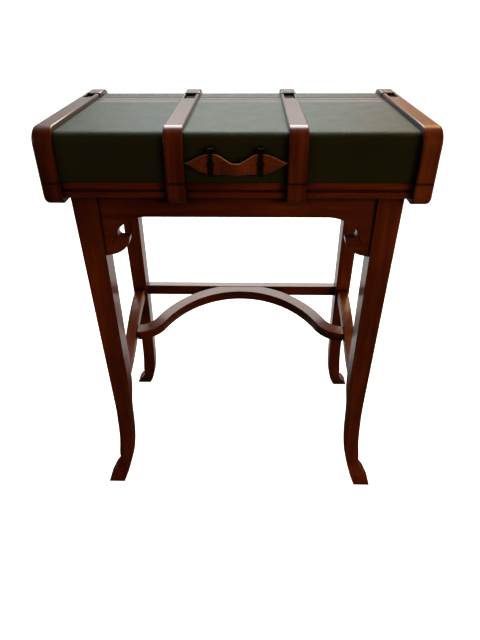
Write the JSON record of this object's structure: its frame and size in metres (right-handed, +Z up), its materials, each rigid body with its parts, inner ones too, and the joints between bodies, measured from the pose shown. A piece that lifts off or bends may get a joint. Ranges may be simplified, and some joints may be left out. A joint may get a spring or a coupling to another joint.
{
  "type": "trunk-style writing desk",
  "caption": "Strapped, leather-covered case with a lifting lid and a front handle, on a slender stand with scroll-ended aprons and curved stretchers.",
  "frame": {"origin": "on the floor, below the middle of the stand", "axes": "+Z up, -Y towards the front with the handle, +X to the right seen from the front"},
  "size_m": [0.614, 0.3852, 0.78],
  "materials": {
    "mahogany": "gloss",
    "case_wood": "gloss",
    "inner_wood": "matte",
    "green_leather": "semi-gloss",
    "tan_leather": "satin",
    "dark_metal": "satin",
    "lining_cloth": "matte"
  },
  "bodies": {
    "stand": {"front_left_leg": "mahogany", "front_right_leg": "mahogany", "rear_left_leg": "mahogany", "rear_right_leg": "mahogany", "front_apron": "mahogany", "rear_apron": "mahogany", "left_apron": "mahogany", "right_apron": "mahogany", "rear_stretcher": "mahogany", "left_stretcher": "mahogany", "right_stretcher": "mahogany", "bowed_stretcher": "mahogany", "corner_blocks": "inner_wood", "left_bearer": "inner_wood", "right_bearer": "inner_wood", "case_screws": "dark_metal", "tray_front_rail": "case_wood", "tray_rear_rail": "case_wood", "tray_left_rail": "case_wood", "tray_right_rail": "case_wood", "tray_bottom": "inner_wood", "tray_lining": "lining_cloth", "case_strap_left_end": "case_wood", "case_strap_left_mid_rear": "case_wood", "case_strap_left_mid_foot": "case_wood", "case_strap_right_end": "case_wood", "case_strap_right_mid_rear": "case_wood", "case_strap_right_mid_foot": "case_wood", "back_panel": "inner_wood", "rear_left_end": "inner_wood", "rear_right_end": "inner_wood", "rear_top_rail": "inner_wood", "rear_leather": "green_leather", "hinge_fixed_leaves": "dark_metal", "hinge_fixed_screws": "dark_metal", "hinge_pins": "dark_metal"},
    "lid": {"lid_front": "inner_wood", "lid_top": "inner_wood", "lid_left_end": "inner_wood", "lid_right_end": "inner_wood", "lid_band": "case_wood", "lid_leather": "green_leather", "lid_strap_left_end": "case_wood", "lid_strap_left_mid": "case_wood", "lid_strap_right_end": "case_wood", "lid_strap_right_mid": "case_wood", "hinge_lid_leaves": "dark_metal", "hinge_lid_screws": "dark_metal", "handle_eyes": "dark_metal", "handle_pins": "dark_metal"},
    "handle": {"handle_grip": "tan_leather", "left_hanger": "dark_metal", "right_hanger": "dark_metal", "handle_studs": "dark_metal"}
  },
  "joints": [
    {"name": "lid_hinge", "type": "hinge", "parent": "stand", "child": "lid", "pos_m": [0, 0.1135, 0.777], "axis": [-1, 0, 0], "range_deg": [0, 100]},
    {"name": "handle_swing", "type": "hinge", "parent": "lid", "child": "handle", "pos_m": [0, -0.1825, 0.7482], "axis": [-1, 0, 0], "range_deg": [0, 90]}
  ]
}
